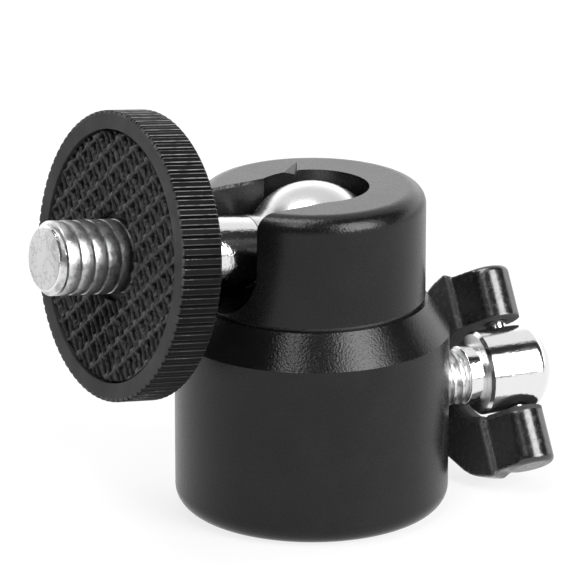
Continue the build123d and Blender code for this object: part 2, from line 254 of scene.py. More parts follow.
def makeDiscFinish():
    # dyed aluminium; the knurl's lands are rubbed bright along their edges, partly real scuffs and partly a painted
    # highlight on the disc's upper side and on one half of each land; the knurled rim and its grooves are darkened as
    # painted shade
    look = discLook
    where, close = newMaterial("anodisedDisc", {"IOR": 1.5, "Specular IOR Level": look["specular"]})
    offset = where.fromPoint(ballCentre + axisOf(studAxes) * (look["middle"] * mm))
    x, y, along = (offset.along(axisOf(studAxes, letter)) for letter in "XYZ")
    turn = y.angleFrom(x)
    radius = (x * x + y * y) ** 0.5
    inLand = (turn * (look["lands"] / (2 * math.pi))).fract()      # 0 and 1 in the groove, 0.5 on the land
    phase = abs(inLand - 0.5) * 2
    onRim = radius.stepAt(*look["rimRadius"]) * along.stepAt(*look["rimEnd"])
    onCorner = radius.stepAt(*look["cornerRadius"]) * along.stepAt(*look["cornerStart"])
    shadedGroove = onRim * phase.step(*look["grooveRange"])
    landEdge = phase.step(*look["landInner"]) * phase.step(*look["landOuter"])
    flecks = noise(where, look["fleckSize"], 3.0, 0.7).step(*look["fleckRange"])
    patch = noise(where, look["patchSize"], 2.0).step(*look["patchRange"])
    lines = noise(where, look["lineSize"], 2.0).step(*look["lineRange"]).atLeast(look["faintLine"])
    upperSide = (-turn.alone("COSINE")).step(*look["upperSideRange"])          # the disc's upper side, where the painted highlights along the lands are strongest
    fleckWearAndSheen = product(flecks, patch.atLeast(look["patchShare"]),
                        along.stepAt(*look["frontRange"]).atLeast(look["backShare"]),
                        inLand.step(*look["upperHalf"]).atLeast(look["lowerShare"]))
    wearAndSheen = onRim * landEdge * upperSide.pick(lines, fleckWearAndSheen.most(look["farLine"] * lines))
    grain = noise(where, look["grainSize"], 2.0, 0.6)
    cloud = noise(where, look["cloudSize"], 3.0)
    tone = mixColour(cloud.step(*look["cloudRange"]), grey(look["dark"]), grey(look["light"]))
    # painted shade: the whole knurled rim is made far darker than the disc's faces, standing in for the knurl's
    # self-shade
    tone = mixColour(onRim, tone, grey(look["rimShadeTone"]))
    # the same light grey is real wear on the front corner and, along the lands, wear together with painted highlight
    tone = mixColour((onCorner * flecks * patch * look["cornerShare"]).most(wearAndSheen), tone, grey(look["worn"]))
    # painted shade: darker still in each groove of the knurl
    tone = mixColour(shadedGroove, tone, grey(look["grooveShadeTone"]))
    rough = look["roughness"] + (grain - 0.5) * look["grainRough"] + onRim * look["rimRough"]
    rough = rough - wearAndSheen * look["wornShine"] + shadedGroove * look["grooveRough"]
    return close(tone, rough, [(cloud, *look["cloudBump"]), (grain, *look["grainBump"])])


chromeLook = {"roughness": 0.09, "smearSize": 2.4, "smearRange": (0.45, 0.75), "smearRough": 0.07,
              "waveSize": 1.6, "waveBump": (0.006, 0.6), "rippleSize": 0.22, "rippleBump": (0.012, 0.7),
              "pitSize": 0.22, "pitRange": (0.64, 0.74), "pitBump": (0.004, 0.35),
              "pitRough": 0.25, "pitShare": 0.55, "pitTone": 0.30, "fadeIn": 0.3, "fadeOut": 0.1,
              "threadShare": 0.6, "threadTone": 0.62, "threadRough": 0.2, "threadBump": (0.008, 0.6),
              "patchSize": 0.8, "patchRange": (0.46, 0.66), "patchShare": 0.75, "patchTone": 0.30,
              "tipRange": (-0.06, -0.02), "tipShare": 0.5, "tipTone": 0.58, "tipRough": 0.34,
              "swirlSize": 1.5, "swirlBump": (0.22, 1.0),
              "creaseRange": (0.03, 0.008), "creaseShare": 0.35, "creaseTone": 0.2,
              "faceRange": (0.06, 0.03), "faceRough": 0.25}
nowhere = 100.0      # millimetres along an axis, past the end of any piece
plates = {"ballChrome": {"waves": 0.8, "dull": 0.5, "shine": 0.60, "soft": 0.16},
          "studChrome": {"waves": 2.2, "dull": 1.0, "shine": 0.76,
                         "axes": studAxes, "threaded": (16.6, 26.4), "tip": 26.65},
          "clampChrome": {"waves": 1.5, "dull": 0.6, "shine": 0.78,
                          "axes": clampAxes, "threaded": (3.5, 14.2), "face": 15.8}}


def makeChromeFinish(name, waves, dull, shine, soft=0.0, axes=None, threaded=None, tip=nowhere, face=nowhere):
    # bright plate over metal that was only roughly polished; duller along the thread and on the tip's flat
    look = chromeLook
    where, close = newMaterial(name, {"Metallic": 1.0})
    wave = noise(where, look["waveSize"], 2.0, 0.5)
    ripple = noise(where, look["rippleSize"], 2.0, 0.6)
    pits = noise(where, look["pitSize"], 3.0, 0.6)
    smear = noise(where, look["smearSize"], 3.0).step(*look["smearRange"])
    spots = pits.step(*look["pitRange"])
    rough = look["roughness"] + soft + smear * look["smearRough"] + spots * look["pitRough"] * dull
    tone = mixColour(spots * look["pitShare"] * dull, grey(shine), grey(look["pitTone"]))
    bumps = [(height, look[bump][0] * share, look[bump][1]) for height, bump, share in
             ((wave, "waveBump", waves), (ripple, "rippleBump", waves), (pits, "pitBump", dull))]
    if axes is not None:
        along = where.fromPoint(axes.translation).along(axisOf(axes))
        bottom, top = threaded
        onThread = along.stepAt(bottom, bottom + look["fadeIn"]) * along.stepAt(top + look["fadeOut"], top)
        onTip = along.stepAt(tip + look["tipRange"][0], tip + look["tipRange"][1])
        onFace = abs(along - face * mm).stepAt(*look["faceRange"])
        swirl = noise(where, look["swirlSize"], 4.0, 0.65)
        crease = abs(swirl - 0.5).step(*look["creaseRange"]) * onTip
        patches = noise(where, look["patchSize"], 3.0, 0.6).step(*look["patchRange"]) * onThread
        tone = mixColour(onThread * look["threadShare"], tone, grey(look["threadTone"]))
        tone = mixColour(patches * look["patchShare"], tone, grey(look["patchTone"]))
        tone = mixColour(onTip * look["tipShare"], tone, grey(look["tipTone"]))
        tone = mixColour(crease * look["creaseShare"], tone, grey(look["creaseTone"]))
        rough = rough + onThread * look["threadRough"] + onTip * look["tipRough"] + onFace * look["faceRough"]
        bumps += [(swirl * onTip, *look["swirlBump"]), (pits * onThread, *look["threadBump"])]
    return close(tone, rough, bumps)


leverLook = {"dark": 0.003, "light": 0.007, "roughness": 0.20, "specular": 0.95,
             "cloudSize": 3.5, "cloudRange": (0.35, 0.65), "cloudRough": 0.06,
             "peelSize": 0.8, "peelBump": (0.035, 0.4),
             "markSize": 0.3, "markTurn": (0.7, 0.5, 0.2), "markStretch": (0.12, 1.0, 0.5), "markRange": (0.5, 0.72),
             "markRough": 0.12, "markBump": (0.006, 0.35),
             "mottleSize": 0.45, "mottleRange": (0.45, 0.7), "mottleRough": 0.10, "mottleBump": (0.008, 0.4),
             "wingStart": (1.9, 2.7), "litWingTone": 0.032, "wingTurn": 42.0,
             "forkHalf": (4.42, 4.36), "forkReach": (5.9, 5.7), "forkShadeTone": 0.002, "forkRough": 0.6}


def makeLeverFinish():
    # moulded plastic with a slight orange peel and fine slanting handling marks; the wing is lightened as painted light
    # and the fork's inside darkened as painted shade
    look = leverLook
    where, close = newMaterial("leverPlastic", {"IOR": 1.5, "Specular IOR Level": look["specular"]})
    slanted = where.add("ShaderNodeMapping", {"vector_type": "POINT"},
                        {"Vector": where, "Rotation": look["markTurn"]})
    peel = noise(where, look["peelSize"], 2.0)
    marks = noise(slanted, look["markSize"], 3.0, 0.65, look["markStretch"])
    mottle = noise(where, look["mottleSize"], 3.0, 0.6)
    cloud = noise(where, look["cloudSize"], 2.0)
    offset = where.fromPoint(pinAxes.translation)
    across = abs(offset.along(axisOf(pinAxes)))
    shadedFork = across.stepAt(*look["forkHalf"]) * offset.length().stepAt(*look["forkReach"])      # painted shade inside the fork, which is also made rougher
    litWing = offset.along(axisOf(pinAxes @ turned(look["wingTurn"], "Z"), "Y")).stepAt(*look["wingStart"])
    tone = mixColour(cloud.step(*look["cloudRange"]), grey(look["dark"]), grey(look["light"]))
    # painted light: the wing's face is lighter, as if light fell on it
    tone = mixColour(litWing, tone, grey(look["litWingTone"]))
    # painted shade: the fork's inner walls are near black
    tone = mixColour(shadedFork, tone, grey(look["forkShadeTone"]))
    rough = look["roughness"] + marks.step(*look["markRange"]) * look["markRough"]
    rough = rough + mottle.step(*look["mottleRange"]) * look["mottleRough"]
    rough = rough + (cloud - 0.5) * look["cloudRough"] + shadedFork * look["forkRough"]
    return close(tone, rough, [(peel, *look["peelBump"]), (mottle, *look["mottleBump"]), (marks, *look["markBump"])])


padLook = {"hollowShade": 0.0012, "crest": 0.040, "crestRange": (0.50, 1.0), "crestShine": 0.12,
           "roughness": 0.42, "specular": 0.22,
           "dustSize": 0.5, "dustRange": (0.62, 0.72), "dustHeight": (0.7, 1.0), "dustShare": 0.6, "dustTone": 0.11,
           "grainSize": 0.16, "grainRough": 0.15, "grainBump": (0.01, 0.5)}


def makePadFinish():
    # rubber: the height attribute darkens the hollows between the ribs as painted shade and lightens what stands proud,
    # which is also rubbed by handling
    look = padLook
    where, close = newMaterial("padRubber", {"IOR": 1.5, "Specular IOR Level": look["specular"]})
    height = where.add("ShaderNodeAttribute", {"attribute_name": "relief"}, out="Fac")
    dust = noise(where, look["dustSize"], 3.0, 0.65).step(*look["dustRange"]) * height.step(*look["dustHeight"])
    grain = noise(where, look["grainSize"], 2.0)
    # painted shade in the lattice's hollows, lighter towards the tops
    tone = mixColour(height.step(*look["crestRange"]), grey(look["hollowShade"]), grey(look["crest"]))
    tone = mixColour(dust * look["dustShare"], tone, grey(look["dustTone"]))
    rough = look["roughness"] - height * look["crestShine"] + (grain - 0.5) * look["grainRough"]
    return close(tone, rough, [(grain, *look["grainBump"])])


plainLook = {"markRange": (0.35, 0.65), "markShare": 0.6, "markRough": 0.2, "markStrength": 0.5,
             "cloudSize": 2.5, "cloudRange": (0.4, 0.6), "cloudShare": 0.4}
plainFinishes = {
    "turnedBrass": {"constants": {"Metallic": 1.0}, "dark": (0.62, 0.45, 0.20, 1), "light": (0.74, 0.58, 0.30, 1),
                    "size": 0.25, "roughness": 0.28, "height": 0.006, "stretch": (1, 1, 8)},
    "springSteel": {"constants": {"Metallic": 1.0}, "dark": grey(0.24), "light": grey(0.38),
                    "size": 0.3, "roughness": 0.35, "height": 0.006, "stretch": (1, 1, 5)},
    "acetal": {"constants": {"IOR": 1.48}, "dark": grey(0.035), "light": grey(0.055),
               "size": 0.6, "roughness": 0.42, "height": 0.01},
    "adhesiveFilm": {"constants": {"IOR": 1.45}, "dark": grey(0.012), "light": grey(0.02),
                     "size": 0.8, "roughness": 0.5, "height": 0.01}}


def makePlainFinish(name, constants, dark, light, size, roughness, height, stretch=None):
    # inside pieces: two tones, and tool marks or moulding grain
    look = plainLook
    where, close = newMaterial(name, constants)
    marks = noise(where, size, 3.0, 0.6, stretch)
    cloud = noise(where, look["cloudSize"], 2.0)
    amount = marks.step(*look["markRange"]) * look["markShare"] + cloud.step(*look["cloudRange"]) * look["cloudShare"]
    return close(mixColour(amount, dark, light), roughness + (marks - 0.5) * look["markRough"],
                 [(marks, height, look["markStrength"])])


bodyFinish = makeBodyFinish()
discFinish = makeDiscFinish()
ballChrome, studChrome, clampChrome = (makeChromeFinish(name, **plate) for name, plate in plates.items())
leverFinish = makeLeverFinish()
padFinish = makePadFinish()
brassFinish, steelFinish, acetalFinish, filmFinish = (makePlainFinish(name, **look)
                                                      for name, look in plainFinishes.items())
print("finishes made:", len(bpy.data.materials))


# shapes

def written(shape, mesh):
    shape.to_mesh(mesh)
    shape.free()
    return mesh


def lathe(outline, columns):
    # a turned shape from (radius, height) points in mm, closed on its axis or round a bore
    shape = bmesh.new()
    circle = [(math.cos(2 * math.pi * i / columns), math.sin(2 * math.pi * i / columns)) for i in range(columns)]
    rings = []
    for radius, height in outline:
        spokes = circle if radius > 1e-6 else [(0, 0)]
        rings.append([shape.verts.new((radius * mm * x, radius * mm * y, height * mm)) for x, y in spokes])
    closed = all(len(ring) > 1 for ring in rings)
    pairs = list(zip(rings, rings[1:])) + ([(rings[-1], rings[0])] if closed else [])
    for low, high in pairs:
        for i in range(columns):
            j = (i + 1) % columns
            corners = [low[i % len(low)], low[j % len(low)], high[j % len(high)], high[i % len(high)]]
            corners = list(dict.fromkeys(corners))
            if len(corners) > 2:
                shape.faces.new(corners)
    bmesh.ops.recalc_face_normals(shape, faces=shape.faces)
    return written(shape, bpy.data.meshes.new("turned"))


def rounded(outline, steps=4):
    # the same outline with corners rounded where a point gives a radius as its third number
    result = []
    longest = 0.48      # share of a side that one corner may take
    for i, (x, y, *radius) in enumerate(outline):
        here = Vector((x, y))
        if not radius:
            result.append(tuple(here))
            continue
        before, after = Vector(outline[i - 1][:2]) - here, Vector(outline[i + 1][:2]) - here
        reach = min(radius[0] / math.tan(before.angle(after) / 2), before.length * longest, after.length * longest)
        start, end = here + before.normalized() * reach, here + after.normalized() * reach
        for k in range(steps + 1):
            t = k / steps
            result.append(tuple((1 - t) ** 2 * start + 2 * t * (1 - t) * here + t * t * end))
    return result


def newTree(name, sizes):
    # an empty geometry tree with one named input for each size
    tree = bpy.data.node_groups.new(name, "GeometryNodeTree")
    tree.interface.new_socket(name="Geometry", in_out="INPUT", socket_type="NodeSocketGeometry")
    for label, value in sizes.items():
        kind = {int: "NodeSocketInt", float: "NodeSocketFloat"}.get(type(value), "NodeSocketMaterial")
        tree.interface.new_socket(name=label, in_out="INPUT", socket_type=kind)
    tree.interface.new_socket(name="Geometry", in_out="OUTPUT", socket_type="NodeSocketGeometry")
    start = Wire(tree)
    entry = start.add("NodeGroupInput")
    ends = tree.nodes.new("NodeGroupOutput")

    def close(shape):
        shape = start.add("GeometryNodeRealizeInstances", None, {"Geometry": shape})
        shape = start.add("GeometryNodeSetMaterial", None, {"Geometry": shape, "Material": entry.other("Material")})
        tree.links.new(shape.socket, ends.inputs[0])
        return tree

    return start, entry.other, close


def newHolder(name, mesh):
    holder = bpy.data.objects.new(name + "Holder", mesh)
    bpy.context.scene.collection.objects.link(holder)
    return holder


def finished(holder):
    # the plain mesh that an object's modifiers make; the object goes
    result = bpy.data.meshes.new_from_object(holder.evaluated_get(bpy.context.evaluated_depsgraph_get()))
    holder.modifiers.clear()
    bpy.data.objects.remove(holder)
    return result


def grown(name, tree, sizes, mesh=None):
    # runs a geometry tree on a mesh, or on nothing, and gives back the plain mesh it makes
    holder = newHolder(name, mesh or bpy.data.meshes.new(name))
    modifier = holder.modifiers.new("build", "NODES")
    modifier.node_group = tree
    for item in tree.interface.items_tree:
        if item.in_out == "INPUT" and item.name in sizes:
            modifier[item.identifier] = sizes[item.name]
    return finished(holder)


def joined(*meshes):
    shape = bmesh.new()
    for mesh in meshes:
        shape.from_mesh(mesh)
    return written(shape, bpy.data.meshes.new("joined"))


def placePiece(name, mesh, axes, finish, body, replaces=(), sharp=0):
    # the finished piece: its place is in its mesh and its object stays at the origin
    mesh.name = name
    mesh.transform(axes)
    mesh.materials.clear()
    mesh.materials.append(finish)
    for face in mesh.polygons:
        face.material_index = 0
        face.use_smooth = True
    if sharp:
        mesh.set_sharp_from_angle(angle=math.radians(sharp))
    piece = bpy.data.objects.new(name, mesh)
    bpy.context.scene.collection.objects.link(piece)
    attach(piece, body)
    if replaces:
        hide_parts(*replaces)


# screw thread: a sheet of rows that climb round the core, closed by flat ends

threadSizes = {"Material": None, "Columns": 97, "Rows per turn": 12, "Rows": 100,
               "Root radius": 2.5, "Depth": 0.6, "Pitch": 1.27, "Length": 10.0,
               "Crest width": 0.45, "Root width": 0.9, "Crown": 0.02, "Tip height": 0.0, "Tip slope": 1.0,
               "Start height": 0.0, "Start slope": 1.0, "Close radius": 0.0, "Wrap": 0.0, "Direction": 1.0}
threadEnds = {"spareRows": 4, "endMargin": 0.0005, "mergeDistance": 0.002,
              "phaseShift": 0.0001}      # keeps a crest's middle off a row


def makeThreadTree():
    start, size, close = newTree("screwThread", threadSizes)
    rows = size("Rows")
    margin = threadEnds["endMargin"]
    sheet = start.add("GeometryNodeMeshGrid", None,
                      {"Size X": 1.0, "Size Y": 1.0, "Vertices X": size("Columns"), "Vertices Y": rows})
    place = start.add("GeometryNodeInputPosition").part("X")
    around = place + 0.5
    row = ((place.other("Y") + 0.5) * (rows - 1.0)).alone("ROUND")
    turns = (row - 1.0) / size("Rows per turn")
    climb = (turns + around - 1.0) * size("Pitch")
    inside = climb.above(margin) * (size("Length") - margin - climb).above(0.0)
    fromCrest = abs((turns + threadEnds["phaseShift"]).fract() - 0.5) * 2
    ridge = fromCrest.step(size("Crest width"), size("Root width"), 1.0, 0.0) - fromCrest * fromCrest * size("Crown")
    tall = ridge.most(0.0) * size("Depth")
    tall = tall.least(size("Tip height") + (size("Length") - climb) * size("Tip slope"))
    tall = tall.least(size("Start height") + climb * size("Start slope")).most(0.0) * inside
    radius = size("Root radius") + size("Direction") * tall
    height = climb.most(0.0).least(size("Length"))
    firstRow = row.below(0.5)                          # rows are counted from 0
    lastTwo = (row - rows + 2.5).above(0.0)
    last = (row - rows + 1.5).above(0.0)
    radius = firstRow.most(lastTwo).pick(size("Close radius"), radius)
    height = firstRow.pick(0.0, height)
    height = lastTwo.pick(size("Length"), height) * (1 - last * size("Wrap"))
    angle = around * (2 * math.pi)
    target = start.add("ShaderNodeCombineXYZ", None, {"X": radius * mm * angle.alone("COSINE"),
                                                      "Y": radius * mm * angle.alone("SINE"), "Z": height * mm})
    shape = start.add("GeometryNodeSetPosition", None, {"Geometry": sheet, "Position": target})
    shape = start.add("GeometryNodeMergeByDistance", None,
                      {"Geometry": shape, "Distance": threadEnds["mergeDistance"] * mm})
    return close(shape)


threadTree = makeThreadTree()


def thread(name, finish, bottom, sizes):
    values = dict(threadSizes, Material=finish, **sizes)
    values["Rows"] = int(values["Rows per turn"] * (values["Length"] / values["Pitch"] + 1)) + threadEnds["spareRows"]
    mesh = grown(name, threadTree, values)
    shape = bmesh.new()
    shape.from_mesh(mesh)
    bmesh.ops.dissolve_degenerate(shape, dist=1e-7, edges=shape.edges)
    bmesh.ops.holes_fill(shape, edges=[edge for edge in shape.edges if edge.is_boundary], sides=8)
    bmesh.ops.recalc_face_normals(shape, faces=shape.faces)
    written(shape, mesh).transform(shifted(0, 0, bottom))
    return mesh


# stud with its camera thread

stud = {"root": 1.0, "rootRadius": 2.45, "neck": 6.95, "radius": 3.13, "shoulder": 16.55, "taper": 0.35,
        "majorRadius": 3.175, "coreStep": 0.3, "coreStart": 0.5, "coreEnd": 26.0, "threadStart": 16.8, "tip": 26.65,
        "columns": 128, "sharp": 40}
studThread = {"Columns": 129, "Rows per turn": 36, "Depth": 0.6, "Pitch": 1.27, "Crest width": 0.85, "Root width": 0.99,
              "Crown": 0.07, "Tip height": 0.02, "Tip slope": 0.95, "Start slope": 1.2}


def makeStud():
    rootRadius, radius, shoulder = stud["rootRadius"], stud["radius"], stud["shoulder"]
    threadRoot = stud["majorRadius"] - studThread["Depth"]
    core = threadRoot - stud["coreStep"]
    shaft = lathe(rounded([(0, stud["root"]), (rootRadius, stud["root"], 0.1), (rootRadius, stud["neck"]),
                           (radius, stud["neck"], 0.08), (radius, shoulder, 0.12),
                           (threadRoot, shoulder + stud["taper"], 0.1), (core, shoulder + stud["coreStart"]),
                           (core, stud["coreEnd"]), (0, stud["coreEnd"])]),
                  stud["columns"])
    ends = {"Root radius": threadRoot, "Length": stud["tip"] - stud["threadStart"]}
    screw = thread("cameraThread", studChrome, stud["threadStart"], dict(studThread, **ends))
    placePiece("threadedStud", joined(shaft, screw), studAxes, studChrome, "stud", ["stud"],
               stud["sharp"])


makeStud()
print("stud made")


# lock disc: a turned blank whose rim is cut by straight grooves

disc = {"back": 16.55, "front": 20.35, "radius": 12.34, "backEdge": 0.25, "frontEdge": 0.16, "frontEdgeDepth": 0.1,
        "lipRadius": 12.05, "recess": 10.75, "recessFloor": 19.35, "bore": 4.23,
        "columnsPerLand": 14, "cornerSteps": 3, "sharp": 35}
knurl = {"Material": discFinish, "Lands": discLook["lands"], "Groove depth": 0.18, "Crown": 0.03, "Land share": 0.58,
         "Rim radius": 12.1}


def makeKnurlTree():
    start, size, close = newTree("rimKnurl", knurl)
    position = start.add("GeometryNodeInputPosition")
    x = position.part("X")
    y = x.other("Y")
    radius = (x * x + y * y) ** 0.5
    phaseShift = 0.0005      # keeps a groove's middle off the seam
    phase = abs((y.angleFrom(x) * size("Lands") / (2 * math.pi) + phaseShift).fract() - 0.5) * 2
    groove = phase.step(size("Land share"), 1.0)
    onRim = radius.above(size("Rim radius") * mm)
    crown = phase * phase * phase * size("Crown")          # each land is a little rounded across
    smaller = 1 - onRim * (groove * size("Groove depth") + crown) * mm / radius.most(mm)
    scale = start.add("ShaderNodeCombineXYZ", None, {"X": smaller, "Y": smaller, "Z": 1.0})
    moved = start.vector("MULTIPLY", position, scale)
    return close(start.add("GeometryNodeSetPosition", None, {"Geometry": size("Geometry"), "Position": moved}))


def makeDisc():
    bore, radius, back, front = (disc[name] for name in ("bore", "radius", "back", "front"))
    outline = [(bore, back), (radius - disc["backEdge"], back, 0.1), (radius, back + disc["backEdge"], 0.1),
               (radius, front - disc["frontEdgeDepth"], 0.08), (radius - disc["frontEdge"], front, 0.05),
               (disc["lipRadius"], front), (disc["recess"], front, 0.05),
               (disc["recess"], disc["recessFloor"], 0.05), (bore, disc["recessFloor"])]
    blank = lathe(rounded(outline, disc["cornerSteps"]), knurl["Lands"] * disc["columnsPerLand"])
    mesh = grown("lockDisc", makeKnurlTree(), knurl, blank)
    placePiece("lockDisc", mesh, studAxes, discFinish, "disc", ["lock_disc"], disc["sharp"])


makeDisc()
print("disc made")


# pad: a sheet on the lattice's own axes, cut round, thickened and raised into ribs

padPlace = {"floor": 19.47, "turn": -48.8}
pad = {"Material": padFinish, "Radius": 10.62, "Bore": 3.72, "Thickness": 0.78, "Depth": 0.62, "Steps": 22,
       "Rib pitch": 1.66, "Row pitch": 1.85, "Rib shift": 0.15, "Row shift": 0.35}
lattice = {"wanderScale": 700.0, "wanderReach": 0.12, "raggedScale": 2600.0, "raggedReach": 0.1, "raggedHeight": 0.25,
           "rowRange": (0.84, 0.95), "rowHeight": 0.92, "ribRange": (0.085, 0.03), "ribHeight": 0.9, "ribLean": -0.05,
           "ribGap": 0.15, "ribGapGrowth": 0.12, "knotRibs": (0.30, 0.15), "knotRows": (0.55, 0.72), "knotShare": 0.62,
           "knotGrowth": 0.38, "edgeOuter": (0.9, 0.25), "edgeHeight": 0.35, "worn": (2.2, 0.8), "wornHeight": 0.55,
           "wornSide": (0.4, 0.9), "wornRange": (2.5, 7.0), "mergeDistance": 0.003}


def makePadTree():
    start, size, close = newTree("padLattice", pad)
    cellsX = (size("Radius") * 2 / size("Rib pitch")).alone("CEIL") + 1.0
    cellsY = (size("Radius") * 2 / size("Row pitch")).alone("CEIL") + 1.0
    sheet = start.add("GeometryNodeMeshGrid", None,
                      {"Size X": cellsX * size("Rib pitch") * mm, "Size Y": cellsY * size("Row pitch") * mm,
                       "Vertices X": cellsX * size("Steps") + 1.0, "Vertices Y": cellsY * size("Steps") + 1.0})
    position = start.add("GeometryNodeInputPosition")
    x = position.part("X")
    y = x.other("Y")
    reach = position.length()
    outside = reach.above(size("Radius") * mm).most(reach.below(size("Bore") * mm))
    flat = start.add("GeometryNodeDeleteGeometry", {"domain": "POINT"}, {"Geometry": sheet, "Selection": outside})
    rim = start.add("GeometryNodeInputMeshEdgeNeighbors").below(1.5)      # edges of one face
    nearHole = reach.below((size("Radius") + size("Bore")) * 0.5 * mm)
    circle = nearHole.pick(size("Bore") * mm, size("Radius") * mm)
    onCircle = start.add("ShaderNodeVectorMath", {"operation": "SCALE"},
                         {0: start.vector("NORMALIZE", position), "Scale": circle})
    rimPoint = start.add("GeometryNodeFieldOnDomain", {"domain": "POINT", "data_type": "FLOAT"}, {"Value": rim})
    flat = start.add("GeometryNodeSetPosition", None,
                     {"Geometry": flat, "Selection": rimPoint.above(0.01), "Position": onCircle})
    solid = start.add("GeometryNodeExtrudeMesh", {"mode": "FACES"},
                      {"Mesh": flat, "Individual": False, "Offset": (0, 0, 1), "Offset Scale": size("Thickness") * mm})
    rimLoops = start.add("GeometryNodeMeshToCurve", None, {"Mesh": flat, "Selection": rim})
    under = start.add("GeometryNodeFillCurve", None, {"Curve": rimLoops})
    under = start.add("GeometryNodeFlipFaces", None, {"Mesh": under})
    body = start.add("GeometryNodeJoinGeometry", None, {0: [solid, under]})
    body = start.add("GeometryNodeMergeByDistance", None,
                     {"Geometry": body, "Distance": lattice["mergeDistance"] * mm})
    wander, ragged = (start.add("ShaderNodeTexNoise", None, {"Vector": position, "Scale": scale, "Detail": detail})
                      for scale, detail in ((lattice["wanderScale"], 1.0), (lattice["raggedScale"], 2.0)))
    # p runs along the rows and q from row to row, one unit a cell
    p = x / (size("Rib pitch") * mm) + size("Rib shift") + (wander - 0.5) * lattice["wanderReach"]
    q = y / (size("Row pitch") * mm) + size("Row shift") + (ragged - 0.5) * lattice["raggedReach"]
    inRow = q.fract()
    fromRow = abs(inRow - 0.5) * 2                      # 1 on a row, 0 midway
    rowBar = fromRow.step(*lattice["rowRange"]) * lattice["rowHeight"]
    lean = (inRow - 0.5) * lattice["ribLean"]
    ribPlace = abs((p + lean).fract() - 0.5)            # two ribs a cell, close together at the row above
    gap = lattice["ribGap"] + lattice["ribGapGrowth"] * inRow
    ribBar = abs(ribPlace - gap).step(*lattice["ribRange"])
    knot = product(ribPlace.step(*lattice["knotRibs"]), fromRow.step(*lattice["knotRows"]),
                   lattice["knotShare"] + lattice["knotGrowth"] * inRow)
    tall = rowBar.most(ribBar * lattice["ribHeight"]).most(knot)
    tall = tall + (ragged - 0.5) * lattice["raggedHeight"] * tall
    nearEdge, nearWorn = (reach.step((size("Radius") - low) * mm, (size("Radius") - high) * mm)
                          for low, high in (lattice["edgeOuter"], lattice["worn"]))
    bySide = (x * lattice["wornSide"][0] + y * lattice["wornSide"][1]).stepAt(*lattice["wornRange"])
    tall = tall.most(nearEdge * lattice["edgeHeight"]).most(nearWorn * bySide * lattice["wornHeight"])
    onTop = x.other("Z").above(size("Thickness") * 0.5 * mm)
    drop = (1 - tall.least(1.0).most(0.0)) * size("Depth") * mm * onTop
    lowered = start.add("ShaderNodeCombineXYZ", None, {"Z": -drop})
    body = start.add("GeometryNodeSetPosition", None, {"Geometry": body, "Offset": lowered})
    body = start.add("GeometryNodeStoreNamedAttribute", {"data_type": "FLOAT", "domain": "POINT"},
                     {"Geometry": body, "Name": "relief", "Value": x.other("Z") / (size("Thickness") * mm)})
    return close(body)


def makePad():
    mesh = grown("gripPad", makePadTree(), pad)
    print("pad faces:", len(mesh.polygons))
    axes = studAxes @ shifted(0, 0, padPlace["floor"]) @ turned(padPlace["turn"], "Z")
    placePiece("gripPad", mesh, axes, padFinish, "disc", ["camera_pad"])


makePad()
print("pad made")


# clamp screw: thread, collar and the spigot inside the barrel

clamp = {"nose": 1.2, "noseEnd": 2.3, "threadStart": 3.8, "threadEnd": 14.2, "majorRadius": 2.5, "coreStep": 0.3,
         "noseDepth": 0.3, "coreStart": 0.5, "coreEnd": -0.6, "flareStart": -0.45, "flareEnd": -0.1, "collarStart": 0.1,
         "collarRadius": 2.65, "collarEnd": 15.8, "spigotRadius": 1.8, "spigotEnd": 17.6, "columns": 96, "sharp": 40}
clampThread = {"Depth": 0.42, "Pitch": 0.8, "Crest width": 0.35, "Root width": 0.95, "Tip slope": 1.2,
               "Start height": 0.1, "Start slope": 0.8}


def makeClampScrew():
    threadRoot = clamp["majorRadius"] - clampThread["Depth"]
    core = threadRoot - clamp["coreStep"]
    low, high = clamp["threadStart"], clamp["threadEnd"]
    shaft = lathe(rounded([(0, clamp["noseEnd"]), (clamp["nose"], clamp["noseEnd"], 0.12),
                           (clamp["nose"], low + clamp["noseDepth"]), (core, low + clamp["coreStart"]),
                           (core, high + clamp["coreEnd"]), (threadRoot, high + clamp["flareStart"], 0.05),
                           (threadRoot, high + clamp["flareEnd"], 0.1),
                           (clamp["collarRadius"], high + clamp["collarStart"], 0.12),
                           (clamp["collarRadius"], clamp["collarEnd"]), (clamp["spigotRadius"], clamp["collarEnd"]),
                           (clamp["spigotRadius"], clamp["spigotEnd"]), (0, clamp["spigotEnd"])]),
                  clamp["columns"])
    ends = {"Root radius": threadRoot, "Length": high - low}
    screw = thread("clampThread", clampChrome, low, dict(clampThread, **ends))
    placePiece("clampScrewShaft", joined(shaft, screw), clampAxes, clampChrome, "screw",
               ["clamp_screw"], clamp["sharp"])


makeClampScrew()
print("clamp screw made")


# tripod socket's inner thread: it points inwards and closes behind itself, in the base's wall

socket = {"start": 0.3, "sharp": 40}
socketThread = {"Root radius": 3.19, "Close radius": 3.25, "Depth": 0.42, "Pitch": 1.27, "Length": 5.0,
                "Crest width": 0.25, "Root width": 0.92, "Tip slope": 0.8, "Start slope": 0.9,
                "Wrap": 1.0, "Direction": -1.0}


def makeSocketThread():
    mesh = thread("socketThread", bodyFinish, socket["start"], socketThread)
    placePiece("tripodThread", mesh, uprightAxes, bodyFinish, "base", (), socket["sharp"])


makeSocketThread()
print("socket thread made")


# lever: the plain solid's copy, remeshed so that its edges turn softly like a moulding's

lever = {"voxel": 0.13, "smoothing": 3, "factor": 0.45, "mergeDistance": 0.002, "fold": 42.0,
         "forkHalfGap": 4.3, "forkDepth": 5.3475, "forkCorner": 3.4, "forkHalfWidth": 3.2,
         "lowerStart": -0.3, "lowerShift": 0.34, "wallMargin": 0.12, "swing": 5.02}


